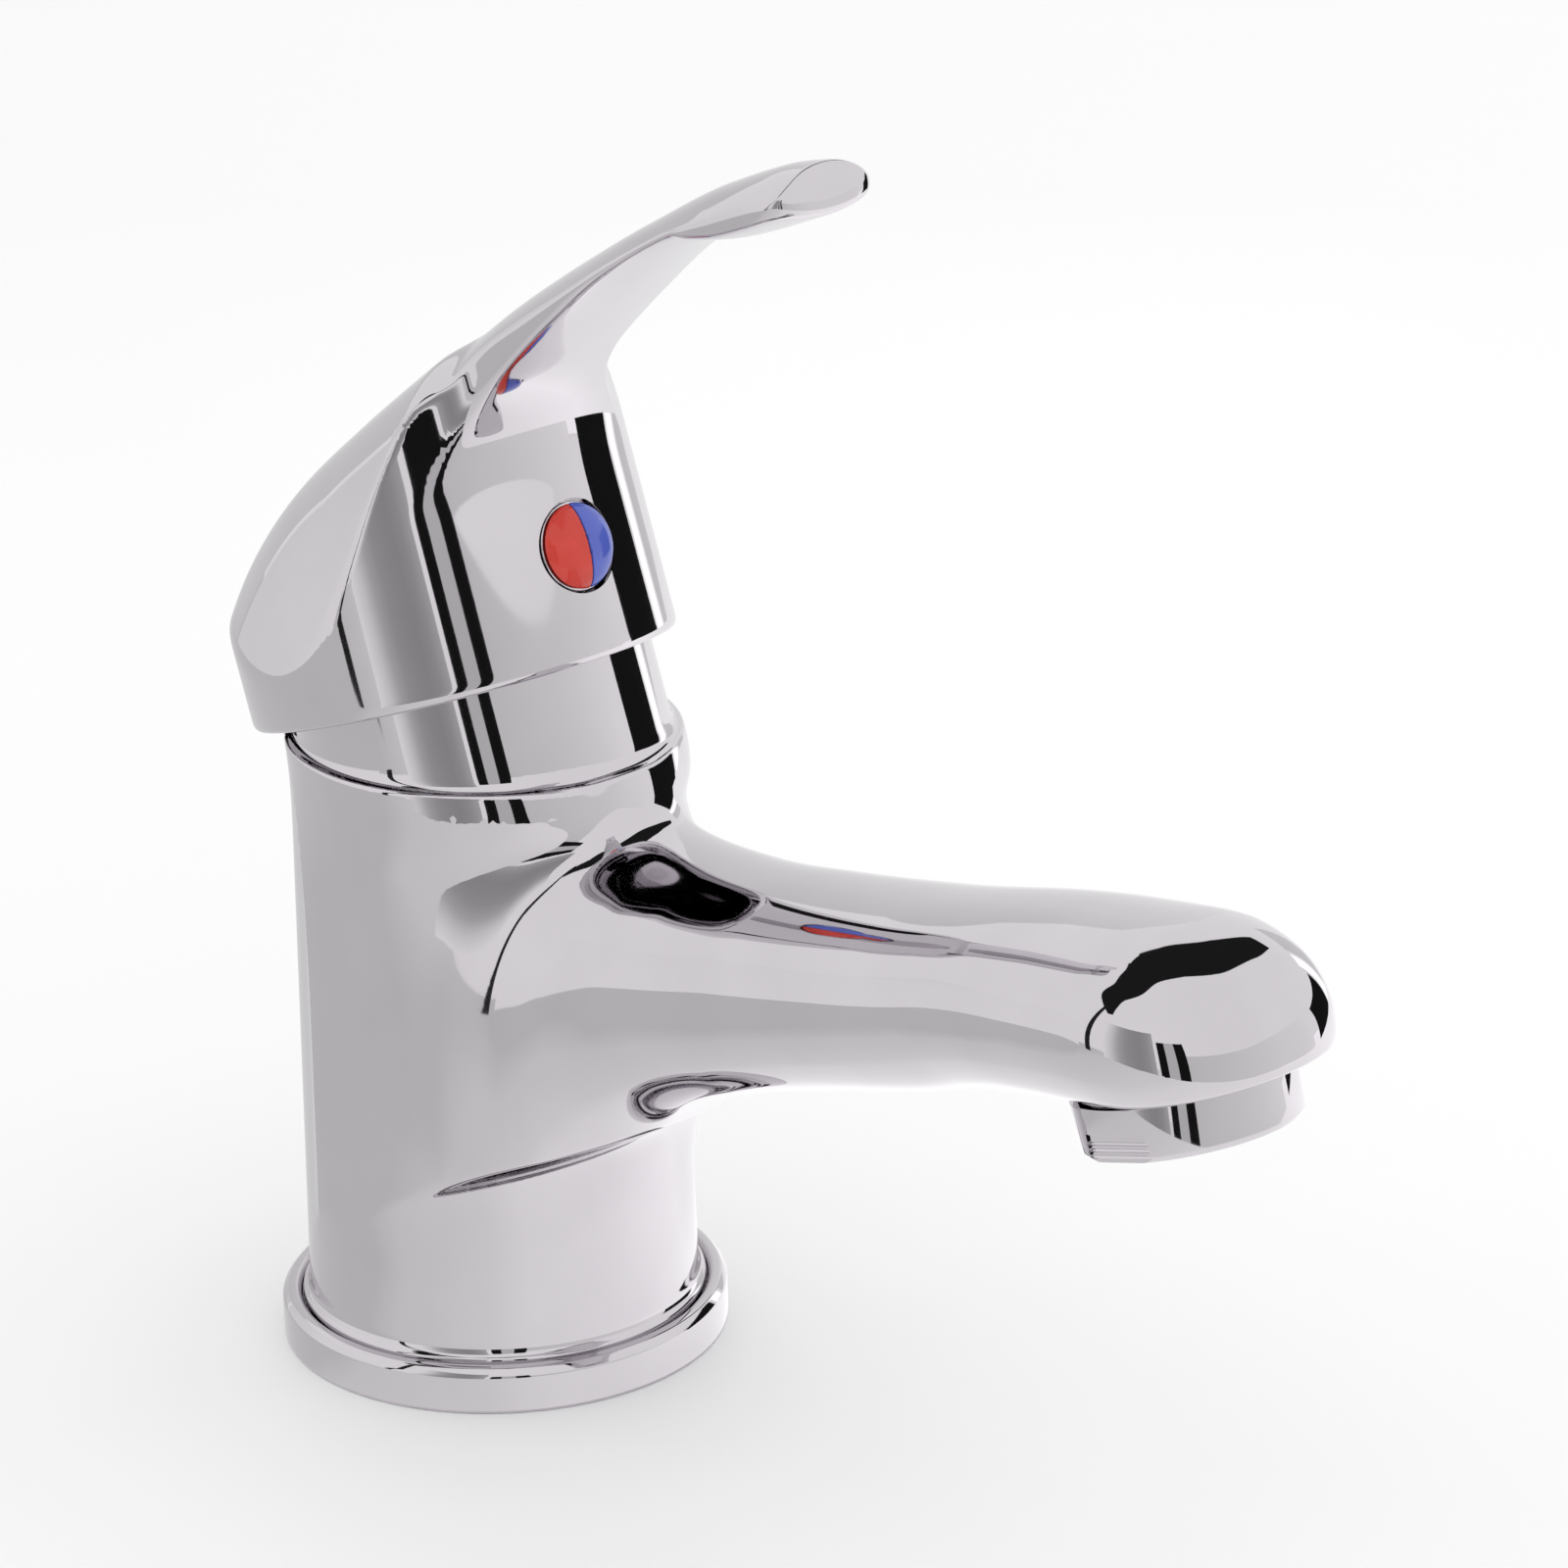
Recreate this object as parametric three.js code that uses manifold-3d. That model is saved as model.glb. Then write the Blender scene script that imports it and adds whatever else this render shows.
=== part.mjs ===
// Single-lever basin mixer with an inclined cartridge, as separate named pieces.
// Millimetres, +Z up. The origin is the middle of the foot, on the basin top.
// The spout points along -Y, towards the user; +X is the user's right.
import * as THREE from 'three';
import { mergeVertices } from 'three/addons/utils/BufferGeometryUtils.js';
import Module from 'manifold-3d';

const wasm = await Module();
wasm.setup();

// ---- Driving dimensions -------------------------------------------------
const GAP = 0.3;                 // between touching pieces
const ROUND = 40;                // sides of a visible round
const SMALL_ROUND = 24;          // sides of an inner or small round

const CARTRIDGE_TILT = 19;       // degrees that the cartridge axis leans back
const TILT_HEIGHT = 76;          // where the leaning axis crosses the column's axis

const FOOT_RADIUS = 21;
const COLUMN_FOOT_RADIUS = 22.9;
const COLUMN_TOP_RADIUS = 21.9;
const COLUMN_TOP = 74.5;
const NECK_RADIUS = 21;
const NECK_TOP = 8;              // heights from here on, up to the handle's, run along the leaning axis
const BORE_RADIUS = 17.7;
const SEAT = -22;                // floor of the cartridge bore

const RING_RADIUS = 26.2;
const RING_HEIGHT = 5.3;
const RING_LIP = 4.6;            // top of the ring under the column

const PORT_SPREAD = 7.5;         // hot and cold water ways, each side of the middle
const PORT_BACK = -4;            // place of the hot and cold ports on the seat
const OUTLET_FRONT = 7.5;        // place of the mixed-water port on the seat
const HOSE_THREAD_RADIUS = 4.45; // M10 x 1
const HOSE_THREAD_DEPTH = 14;
const WATERWAY_RADIUS = 3.2;
const STUD_RADIUS = 3.4;         // M8
const STUD_DEPTH = 16;
const STUD_BACK = 11;

const OUTLET_REACH = 107.7;      // from the column's axis to the outlet's, at the nose rim
const OUTLET_HEIGHT = 62.6;      // of the nose rim's middle
const OUTLET_TILT = 16;          // degrees that the jet leans forward
const NOSE_RADIUS = 16;
const NOSE_DOME = 17.5;
const AERATOR_RADIUS = 12.1;
const AERATOR_DROP = 6.2;        // of the aerator below the nose rim
const AERATOR_THREAD_RADIUS = 11;
const AERATOR_THREAD = 7;
const AERATOR_BORE = 9.7;

const HOUSING_RADIUS = 17.2;
const HOUSING_TOP = 3;
const HOUSING_BORE = 14.6;
const DISC_BOTTOM = -16.4;       // underside of the fixed ceramic disc
const FIXED_DISC = 3.4;
const MOVING_DISC = 3.4;
const MOVING_DISC_RADIUS = 11.2;
const CARRIER = 3;
const DISC_OFFSET = -2.1;        // moving disc's place with the lever down
const PIVOT = 5;                 // lever pivot above the crossing point
const TURRET_RADIUS = 8.7;
const TURRET_TOP = 9.5;
const SPINDLE = 8;               // side of the square spindle
const SPINDLE_TOP = 25;
const PIN_RADIUS = 1.5;

const HANDLE_BOTTOM = 4.2;
const HANDLE_SIDE = 24;
const HANDLE_FRONT = 24.8;
const HANDLE_BACK = 27.6;
const SKIRT_WALL = 1.2;
const LEVER_ROOT = 10;            // lever stations are distances forward of the leaning axis
const LEVER_TIP = 79;
const SCREW_HEIGHT = 17;         // of the set screw and the index plug
const PLUG_RADIUS = 5.05;

// ---- Frames ---------------------------------------------------------------
const tilt = THREE.MathUtils.degToRad(CARTRIDGE_TILT);
const jet = THREE.MathUtils.degToRad(OUTLET_TILT);

// Both turned frames keep +X. The cartridge frame's +Z runs up the leaning axis,
// and the outlet frame's +Z runs from the nose rim up into the spout.
const cartridgeFrame = new THREE.Matrix4()
  .makeRotationX(-tilt)
  .setPosition(0, 0, TILT_HEIGHT);
const outletFrame = new THREE.Matrix4()
  .makeRotationX(-jet)
  .setPosition(0, -OUTLET_REACH, OUTLET_HEIGHT);

// ---- Solids ---------------------------------------------------------------
function solid(geometry) {
  const g = geometry.index ? geometry.toNonIndexed() : geometry.clone();
  g.deleteAttribute('normal');
  g.deleteAttribute('uv');
  const merged = mergeVertices(g, 1e-4);
  return new wasm.Manifold(new wasm.Mesh({
    numProp: 3,
    vertProperties: merged.attributes.position.array,
    triVerts: new Uint32Array(merged.index.array),
  }));
}

function geometryOf(manifold) {
  const mesh = manifold.getMesh();
  const g = new THREE.BufferGeometry();
  g.setAttribute('position', new THREE.BufferAttribute(new Float32Array(mesh.vertProperties), 3));
  g.setIndex(new THREE.BufferAttribute(new Uint32Array(mesh.triVerts), 1));
  return g;
}

function join(...solids) {
  return solids.reduce((whole, s) => whole.add(s));
}

function cut(whole, ...tools) {
  return tools.reduce((rest, s) => rest.subtract(s), whole);
}

function placed(manifold, matrix) {
  return manifold.transform(matrix.elements);
}

function moved(manifold, x, y, z) {
  return manifold.translate([x, y, z]);
}

// A turned solid about +Z, from [radius, height] points that start and end on the axis.
function turned(points, sides = ROUND) {
  const profile = points.map(([r, z]) => new THREE.Vector2(r, z));
  return solid(new THREE.LatheGeometry(profile, sides).rotateX(Math.PI / 2));
}

function rod(radius, low, high, sides = ROUND) {
  return turned([[0, low], [radius, low], [radius, high], [0, high]], sides);
}

function ring(inner, outer, low, high, sides = ROUND) {
  return turned([[inner, low], [outer, low], [outer, high], [inner, high], [inner, low]], sides);
}

function torus(radius, thickness, z) {
  return moved(solid(new THREE.TorusGeometry(radius, thickness, 8, ROUND)), 0, 0, z);
}

function block(x, y, z) {
  const g = new THREE.BoxGeometry(x[1] - x[0], y[1] - y[0], z[1] - z[0]);
  g.translate((x[0] + x[1]) / 2, (y[0] + y[1]) / 2, (z[0] + z[1]) / 2);
  return solid(g);
}

function rodAlongX(radius, half, sides = SMALL_ROUND) {
  return solid(new THREE.CylinderGeometry(radius, radius, 2 * half, sides).rotateZ(Math.PI / 2));
}

// A round rod along -Y, from one distance to another.
function rodAlongFront(radius, near, far, sides = SMALL_ROUND) {
  const g = new THREE.CylinderGeometry(radius, radius, far - near, sides);
  return solid(g.translate(0, -(near + far) / 2, 0));
}

// A solid swept towards -Y through changing cross-sections: at each step, section(t, angle)
// gives {x, z} and reach(t) the distance forward. The caps are fans about each end's middle.
function swept(steps, sides, reach, section) {
  const g = new THREE.CylinderGeometry(1, 1, 1, sides, steps);
  const p = g.attributes.position;
  for (let i = 0; i < p.count; i += 1) {
    const t = 0.5 - p.getY(i);
    const angle = Math.atan2(p.getZ(i), p.getX(i));
    const onRim = Math.hypot(p.getX(i), p.getZ(i)) > 0.5;
    const a = section(t, angle);
    const b = section(t, angle + Math.PI);
    const middle = section.middle(t);
    const at = onRim ? a : { x: (a.x + b.x) / 2, z: middle };
    p.setXYZ(i, at.x, -reach(t), at.z);
  }
  return solid(g);
}

// A smooth curve through [reach, value] points, read at any reach.
function curveThrough(points) {
  const spline = new THREE.SplineCurve(points.map(([x, y]) => new THREE.Vector2(x, y)));
  const fine = spline.getPoints(200);
  return (x) => {
    const next = fine.findIndex((p) => p.x >= x);
    if (next === 0) return fine[0].y;
    if (next < 0) return fine[fine.length - 1].y;
    const a = fine[next - 1];
    const b = fine[next];
    return a.y + (b.y - a.y) * (x - a.x) / (b.x - a.x || 1);
  };
}

// A rounded oval section: exponent 2 is an ellipse, and a higher one is squarer.
function oval(halfWidth, low, high, angle, exponent) {
  const c = Math.cos(angle);
  const s = Math.sin(angle);
  const bend = 2 / exponent;
  return {
    x: halfWidth * Math.sign(c) * Math.abs(c) ** bend,
    z: (low + high) / 2 + (high - low) / 2 * Math.sign(s) * Math.abs(s) ** bend,
  };
}

// ---- Body casting -----------------------------------------------------------
const spoutCrown = curveThrough([
  [0, 70], [16, 75], [22, 74.6], [26, 69.4], [31, 67.7], [40, 67.8], [53, 69.6],
  [71, 72.8], [88, 76.6], [99, 78.5], [107.7, 79],
]);
const spoutKeel = curveThrough([
  [0, 3.5], [14, 5], [20, 10], [24, 19], [27.5, 28], [31.5, 34], [37, 38.8], [49, 44.2], [61, 48.2],
  [77, 52.8], [87, 56], [92, 58], [100, 61], [107.7, 63],
]);
const spoutHalfWidth = curveThrough([
  [0, 20], [14, 20], [22, 18.6], [34, 16], [50, 14.9], [80, 14.6], [96, 15.2], [107.7, 15.8],
]);

function makeBody() {
  const column = turned([
    [0, 0], [FOOT_RADIUS, 0], [FOOT_RADIUS, RING_LIP + GAP],
    [COLUMN_FOOT_RADIUS, RING_LIP + GAP], [COLUMN_TOP_RADIUS + 0.1, COLUMN_TOP - 0.5],
    [COLUMN_TOP_RADIUS - 0.4, COLUMN_TOP], [0, COLUMN_TOP],
  ], 48);
  const reach = (t) => 8 + t * (OUTLET_REACH - 8);
  const section = (t, angle) => {
    const s = reach(t);
    return oval(spoutHalfWidth(s), spoutKeel(s), spoutCrown(s), angle, 2.25);
  };
  section.middle = (t) => (spoutKeel(reach(t)) + spoutCrown(reach(t))) / 2;
  const arm = swept(22, 28, reach, section);
  const nose = placed(
    solid(new THREE.SphereGeometry(1, 28, 16).rotateX(Math.PI / 2)
      .scale(NOSE_RADIUS, NOSE_RADIUS, NOSE_DOME)),
    outletFrame,
  );
  const underNose = placed(block([-30, 30], [-30, 16.5], [-30, 0]), outletFrame);
  const wholeNeck = placed(
    turned([[0, -14], [NECK_RADIUS, -14], [NECK_RADIUS, NECK_TOP - 1.2],
      [NECK_RADIUS - 1.2, NECK_TOP], [0, NECK_TOP]], 48),
    cartridgeFrame,
  );
  const neck = cut(wholeNeck, block([-40, 40], [-40, 40], [0, COLUMN_TOP - 1]));
  const outside = join(column, cut(join(arm, nose), underNose), neck);

  const bore = placed(rod(BORE_RADIUS, SEAT, NECK_TOP + 1), cartridgeFrame);
  const seatMiddle = new THREE.Vector3(0, -PORT_BACK, SEAT).applyMatrix4(cartridgeFrame);
  const waterways = [-1, 1].flatMap((side) => {
    const x = side * PORT_SPREAD;
    return [
      moved(rod(HOSE_THREAD_RADIUS, -1, HOSE_THREAD_DEPTH, SMALL_ROUND), x, seatMiddle.y, 0),
      moved(rod(WATERWAY_RADIUS, 1, seatMiddle.z + 2, SMALL_ROUND), x, seatMiddle.y, 0),
    ];
  });
  const stud = moved(rod(STUD_RADIUS, -1, STUD_DEPTH, SMALL_ROUND), 0, STUD_BACK, 0);
  return cut(outside, bore, ...waterways, stud, mixedWaterway(), aeratorCavity());
}

// The mixed water leaves the seat, turns forward and runs along the spout.
function mixedWaterway() {
  const start = new THREE.Vector3(0, -OUTLET_FRONT, SEAT + 1).applyMatrix4(cartridgeFrame);
  const path = new THREE.CatmullRomCurve3([
    start,
    new THREE.Vector3(0, start.y - 4, start.z - 6),
    new THREE.Vector3(0, -34, 53),
    new THREE.Vector3(0, -70, 62),
    new THREE.Vector3(0, -OUTLET_REACH + 4, 68),
  ]);
  const circle = new THREE.Shape().absarc(0, 0, 4, 0, 2 * Math.PI);
  return solid(new THREE.ExtrudeGeometry(circle, { steps: 14, curveSegments: 8, extrudePath: path }));
}

function aeratorCavity() {
  return placed(rod(AERATOR_THREAD_RADIUS + GAP, -1, AERATOR_THREAD + 1.6), outletFrame);
}

// ---- Foot pieces --------------------------------------------------------------
const SEAL_RADIUS = 24.2;
const SEAL_HALF_WIDTH = 0.8;
const SEAL_HEIGHT = 1.8;

function makeBaseRing() {
  const inner = FOOT_RADIUS + GAP;
  const underColumn = COLUMN_FOOT_RADIUS + GAP;
  const rimTop = RING_HEIGHT + 0.3;
  const groove = SEAL_HALF_WIDTH + GAP;
  return turned([
    [inner, 0], [SEAL_RADIUS - groove, 0], [SEAL_RADIUS - groove, SEAL_HEIGHT + GAP],
    [SEAL_RADIUS + groove, SEAL_HEIGHT + GAP], [SEAL_RADIUS + groove, 0], [RING_RADIUS - 0.3, 0],
    [RING_RADIUS, 0.4], [RING_RADIUS, RING_HEIGHT - 0.9], [RING_RADIUS - 0.9, rimTop],
    [underColumn + 0.6, rimTop], [underColumn, RING_HEIGHT], [underColumn, RING_LIP],
    [inner, RING_LIP], [inner, 0],
  ], 48);
}

function makeBaseSeal() {
  const low = SEAL_RADIUS - SEAL_HALF_WIDTH;
  const high = SEAL_RADIUS + SEAL_HALF_WIDTH;
  return ring(low, high, 0, SEAL_HEIGHT, 48);
}

// ---- Cartridge, in the cartridge frame ------------------------------------------
const BASE_LOW = SEAT + 1.4;
const BASE_HIGH = DISC_BOTTOM - GAP;
const PORTS = {
  hot: [-PORT_SPREAD, PORT_BACK],
  cold: [PORT_SPREAD, PORT_BACK],
  mixed: [0, OUTLET_FRONT],
};

// Something at a port's place on the seat. Forward is -Y.
function atPort([x, front], manifold) {
  return moved(manifold, x, -front, 0);
}

function makePortSeal(port) {
  return atPort(port, ring(WATERWAY_RADIUS + 0.3, WATERWAY_RADIUS + 1.5, SEAT + GAP, BASE_LOW - GAP, SMALL_ROUND));
}

function portHoles(radius, low, high) {
  return Object.values(PORTS).map((port) => atPort(port, rod(radius, low, high, 16)));
}

function makeCartridgeBase() {
  const plate = rod(HOUSING_RADIUS - 0.3, BASE_LOW, BASE_HIGH);
  return cut(plate, ...portHoles(WATERWAY_RADIUS, BASE_LOW - 1, BASE_HIGH + 1));
}

function makeHousing() {
  const neckBore = TURRET_RADIUS + 0.6;
  return turned([
    [HOUSING_BORE, DISC_BOTTOM], [HOUSING_RADIUS, DISC_BOTTOM], [HOUSING_RADIUS, HOUSING_TOP],
    [neckBore, HOUSING_TOP], [neckBore, 0], [HOUSING_BORE, 0], [HOUSING_BORE, DISC_BOTTOM],
  ]);
}

const FIXED_HIGH = DISC_BOTTOM + FIXED_DISC;
const MOVING_LOW = FIXED_HIGH + GAP;
const MOVING_HIGH = MOVING_LOW + MOVING_DISC;
const CARRIER_LOW = MOVING_HIGH + GAP;
const CARRIER_HIGH = CARRIER_LOW + CARRIER;
const TURRET_LOW = CARRIER_HIGH + GAP;

function makeFixedDisc() {
  const disc = rod(HOUSING_BORE - GAP, DISC_BOTTOM, FIXED_HIGH);
  return cut(disc, ...portHoles(WATERWAY_RADIUS - 0.3, DISC_BOTTOM - 1, FIXED_HIGH + 1));
}

// The mixing hollow in its underside joins the inlets to the outlet as it slides forward.
function makeMovingDisc() {
  const disc = rod(MOVING_DISC_RADIUS, MOVING_LOW, MOVING_HIGH);
  const hollow = rod(6.4, MOVING_LOW - 1, MOVING_LOW + 1.7, SMALL_ROUND);
  return moved(cut(disc, moved(hollow, 0, -1.6, 0)), 0, -DISC_OFFSET, 0);
}

function makeCarrier() {
  const disc = moved(rod(MOVING_DISC_RADIUS, CARRIER_LOW, CARRIER_HIGH), 0, -DISC_OFFSET, 0);
  return cut(disc, rod(3.6, CARRIER_LOW + 0.8, CARRIER_HIGH + 1, SMALL_ROUND));
}

const O_RING_HEIGHT = 1.5;
const O_RING_THICKNESS = 0.7;

function makeTurret() {
  const grooveFloor = TURRET_RADIUS - 1.6;
  const whole = turned([
    [0, TURRET_LOW], [HOUSING_BORE - 0.6, TURRET_LOW], [HOUSING_BORE - 0.6, -GAP],
    [TURRET_RADIUS, -GAP], [TURRET_RADIUS, O_RING_HEIGHT - 1], [grooveFloor, O_RING_HEIGHT - 1],
    [grooveFloor, O_RING_HEIGHT + 1], [TURRET_RADIUS, O_RING_HEIGHT + 1],
    [TURRET_RADIUS, TURRET_TOP], [0, TURRET_TOP],
  ]);
  const side = SPINDLE / 2 + GAP;
  const slotAbove = block([-side, side], [-5, 6.2], [3, TURRET_TOP + 1]);
  const slotMiddle = block([-side, side], [-5, 5], [1, 3.2]);
  const slotBelow = block([-3.4, 3.4], [-7, 3.6], [TURRET_LOW - 1, 1.2]);
  const pinHole = moved(rodAlongX(PIN_RADIUS + GAP, TURRET_RADIUS + 1), 0, 0, PIVOT);
  return cut(whole, slotAbove, slotMiddle, slotBelow, pinHole);
}

function makeTurretORing() {
  return torus(TURRET_RADIUS - 0.5, O_RING_THICKNESS, O_RING_HEIGHT);
}

function makePivotPin() {
  return moved(rodAlongX(PIN_RADIUS, TURRET_RADIUS - 0.6), 0, 0, PIVOT);
}

// A square shank above the pivot and a thin peg below it that pushes the carrier.
function makeSpindle() {
  const half = SPINDLE / 2;
  const shank = block([-half, half], [-half, half], [PIVOT - 2.6, SPINDLE_TOP]);
  const peg = rod(2.9, CARRIER_LOW + 1.9, PIVOT - 2, SMALL_ROUND);
  const pinHole = moved(rodAlongX(PIN_RADIUS + GAP, half + 1), 0, 0, PIVOT);
  return cut(join(shank, peg), pinHole);
}

// Threaded ring with a hexagon that presses the cartridge onto its seat.
function makeNut() {
  const nutLow = HOUSING_TOP + GAP;
  const thread = ring(10.6, BORE_RADIUS - GAP, nutLow, NECK_TOP - 0.4);
  const hexagon = ring(10.6, 16.4, NECK_TOP - 1, NECK_TOP + 2, 6);
  return join(thread, hexagon);
}

// Chromed cover on the neck that hides the nut under the handle.
const COVER_TOP = 11.4;

function makeCover() {
  const low = NECK_TOP + GAP;
  return turned([
    [18.6, low], [20, low], [20, low + 0.8], [18.2, COVER_TOP - 0.5], [16.8, COVER_TOP],
    [12, COVER_TOP], [12, COVER_TOP - 0.9], [16.2, COVER_TOP - 0.9], [18.6, low],
  ]);
}

// ---- Handle, in the cartridge frame -----------------------------------------------
const handleCrown = curveThrough([
  [-27.6, 9.5], [-27, 13], [-25, 17.8], [-21.5, 22.6], [-16.5, 27], [-8.5, 31.6], [3.3, 36.2],
  [11.4, 39], [23.5, 42.9], [31, 45.2], [42.6, 48.1], [53.5, 50.4], [66, 52.4], [74, 52.8], [79, 52.2],
]);
const leverUnderside = curveThrough([
  [10, 27], [18, 29.6], [24, 33.2], [31, 37], [40, 41.2], [50, 45], [57, 46.8], [61, 47.4],
  [63, 46.9], [68, 46.6], [75, 47.2], [79, 48.8],
]);
const leverHalfWidth = curveThrough([
  [10, 10], [24, 9.2], [45, 9], [60, 8], [70, 7.8], [75, 7.4], [78, 6], [79, 4.4],
]);

function handleHalfWidth(front) {
  const length = front < 0 ? HANDLE_BACK : HANDLE_FRONT;
  return Math.max(2.2, HANDLE_SIDE * Math.sqrt(Math.max(0, 1 - (front / length) ** 2)));
}

// The top is one arched surface: broad over the skirt, narrow and shallow along the lever.
// Its sharp side edge is where it meets the skirt's wall.
function handleTop(x, front) {
  const broad = HANDLE_SIDE * (Math.abs(x) / HANDLE_SIDE) ** 3;
  const narrow = 2.8 * (Math.abs(x) / leverHalfWidth(front)) ** 2.2;
  return handleCrown(front) - THREE.MathUtils.lerp(broad, narrow, THREE.MathUtils.smoothstep(front, 19, 24));
}

function makeHandle() {
  const skirtReach = (t) => -Math.cos(t * Math.PI) * (t < 0.5 ? HANDLE_BACK : HANDLE_FRONT);
  const skirtSection = (t, angle) => {
    const front = skirtReach(t);
    const x = handleHalfWidth(front) * Math.cos(angle);
    if (Math.sin(angle) >= 0) {
      return { x, z: handleTop(x, front) };
    }
    const out = oval(handleHalfWidth(front), 0, 2, angle, 16);
    const wall = handleTop(handleHalfWidth(front), front) - HANDLE_BOTTOM;
    return { x: out.x, z: HANDLE_BOTTOM + wall * out.z };
  };
  skirtSection.middle = (t) => (handleCrown(skirtReach(t)) + HANDLE_BOTTOM) / 2;
  const skirt = swept(20, 36, skirtReach, skirtSection);

  const leverReach = (t) => LEVER_ROOT + t * (LEVER_TIP - LEVER_ROOT);
  const leverSection = (t, angle) => {
    const front = leverReach(t);
    const at = oval(leverHalfWidth(front), leverUnderside(front), handleCrown(front), angle, 3.2);
    return { x: at.x, z: Math.min(at.z, handleTop(at.x, front)) };
  };
  leverSection.middle = (t) => (leverUnderside(leverReach(t)) + handleCrown(leverReach(t))) / 2;
  const lever = swept(22, 24, leverReach, leverSection);

  return cut(join(cut(join(skirt, lever), handleHollow()), screwBoss()), screwHole(), spindleSocket());
}

// The hollow clears the neck, the cover and the turret as the handle lifts.
function handleHollow() {
  const side = HANDLE_SIDE - SKIRT_WALL;
  const back = HANDLE_BACK - SKIRT_WALL;
  const front = HANDLE_FRONT - SKIRT_WALL;
  const outline = new THREE.Shape();
  outline.absellipse(0, 0, side, front, Math.PI, 2 * Math.PI);
  outline.absellipse(0, 0, side, back, 0, Math.PI);
  const skirt = solid(new THREE.ExtrudeGeometry(outline, { depth: 9.7, curveSegments: 20, bevelEnabled: false })
    .translate(0, 0, HANDLE_BOTTOM - 1));
  const dome = moved(
    solid(new THREE.SphereGeometry(1, 28, 14).rotateX(Math.PI / 2).scale(21, 22.5, 13.5)),
    0, 2.5, 12,
  );
  return join(skirt, dome);
}

function screwBoss() {
  return block([-6.8, 6.8], [-HANDLE_FRONT + 1.2, 6.8], [13.4, 29]);
}

function screwHole() {
  const tunnel = moved(rodAlongFront(2.8, 2, HANDLE_FRONT + 2), 0, 0, SCREW_HEIGHT);
  const recess = moved(rodAlongFront(PLUG_RADIUS + GAP, HANDLE_FRONT - 1.6, HANDLE_FRONT + 2), 0, 0, SCREW_HEIGHT);
  return join(tunnel, recess);
}

function spindleSocket() {
  const half = SPINDLE / 2 + GAP;
  return block([-half, half], [-half, half], [12, SPINDLE_TOP + GAP]);
}

function makeSetScrew() {
  const near = SPINDLE / 2 + GAP;
  const screw = rodAlongFront(2.5, near, near + 7.5);
  const hexSocket = rodAlongFront(1.35, near + 4.5, near + 9, 6);
  return moved(cut(screw, hexSocket), 0, 0, SCREW_HEIGHT);
}

// ---- Index button: a plug that closes the screw hole, with a two-colour dome --------
const PLUG_FACE = HANDLE_FRONT - 0.5;

function makeIndexPlug() {
  const flange = rodAlongFront(PLUG_RADIUS, HANDLE_FRONT - 1.6 + GAP, PLUG_FACE);
  const stem = rodAlongFront(2.5, HANDLE_FRONT - 7, HANDLE_FRONT - 1);
  return moved(join(flange, stem), 0, 0, SCREW_HEIGHT);
}

function makeIndexHalf(side) {
  const dome = solid(new THREE.SphereGeometry(1, 24, 12).scale(PLUG_RADIUS - 0.15, 2.2, PLUG_RADIUS - 0.15));
  const front = block([-9, 9], [-9, -GAP], [-9, 9]);
  const half = block(side < 0 ? [-9, -0.15] : [0.15, 9], [-9, 9], [-9, 9]);
  return moved(dome.intersect(front).intersect(half), 0, -PLUG_FACE, SCREW_HEIGHT);
}

// ---- Aerator, in the outlet frame ----------------------------------------------------
function makeAeratorHousing() {
  const collar = turned([
    [AERATOR_BORE, -AERATOR_DROP], [AERATOR_RADIUS - 0.7, -AERATOR_DROP],
    [AERATOR_RADIUS - 0.2, -AERATOR_DROP + 0.6], [AERATOR_RADIUS, -GAP],
    [AERATOR_THREAD_RADIUS, -GAP], [AERATOR_THREAD_RADIUS, AERATOR_THREAD],
    [AERATOR_BORE, AERATOR_THREAD], [AERATOR_BORE, -AERATOR_DROP],
  ]);
  const flats = [-1, 1].map((side) => {
    const x = side < 0 ? [-20, -10.9] : [10.9, 20];
    return block(x, [-4.2, 4.2], [-AERATOR_DROP - 1, -AERATOR_DROP + 3]);
  });
  return cut(collar, ...flats);
}

const INSERT_LOW = 0.2;
const INSERT_HIGH = 5.4;

function makeAeratorInsert() {
  const radius = AERATOR_BORE - GAP;
  const barrel = rod(radius, INSERT_LOW, INSERT_HIGH);
  const slots = [];
  for (let i = 0; i < 8; i += 1) {
    const angle = i * Math.PI / 4;
    slots.push(moved(rod(1.5, INSERT_LOW - 1, INSERT_HIGH + 1, 8), 5.6 * Math.cos(angle), 5.6 * Math.sin(angle), 0));
  }
  return cut(barrel, ...slots);
}

function makeAeratorScreen() {
  const radius = AERATOR_BORE - GAP;
  const disc = rod(radius, INSERT_HIGH + GAP, INSERT_HIGH + GAP + 0.8);
  const holes = [];
  for (let i = 0; i < 6; i += 1) {
    const angle = i * Math.PI / 3;
    holes.push(moved(rod(1.3, INSERT_HIGH - 1, INSERT_HIGH + 3, 8), 5 * Math.cos(angle), 5 * Math.sin(angle), 0));
  }
  return cut(disc, ...holes);
}

function makeAeratorWasher() {
  return ring(8.4, AERATOR_THREAD_RADIUS - 0.1, AERATOR_THREAD + GAP, AERATOR_THREAD + 1.3);
}

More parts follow.
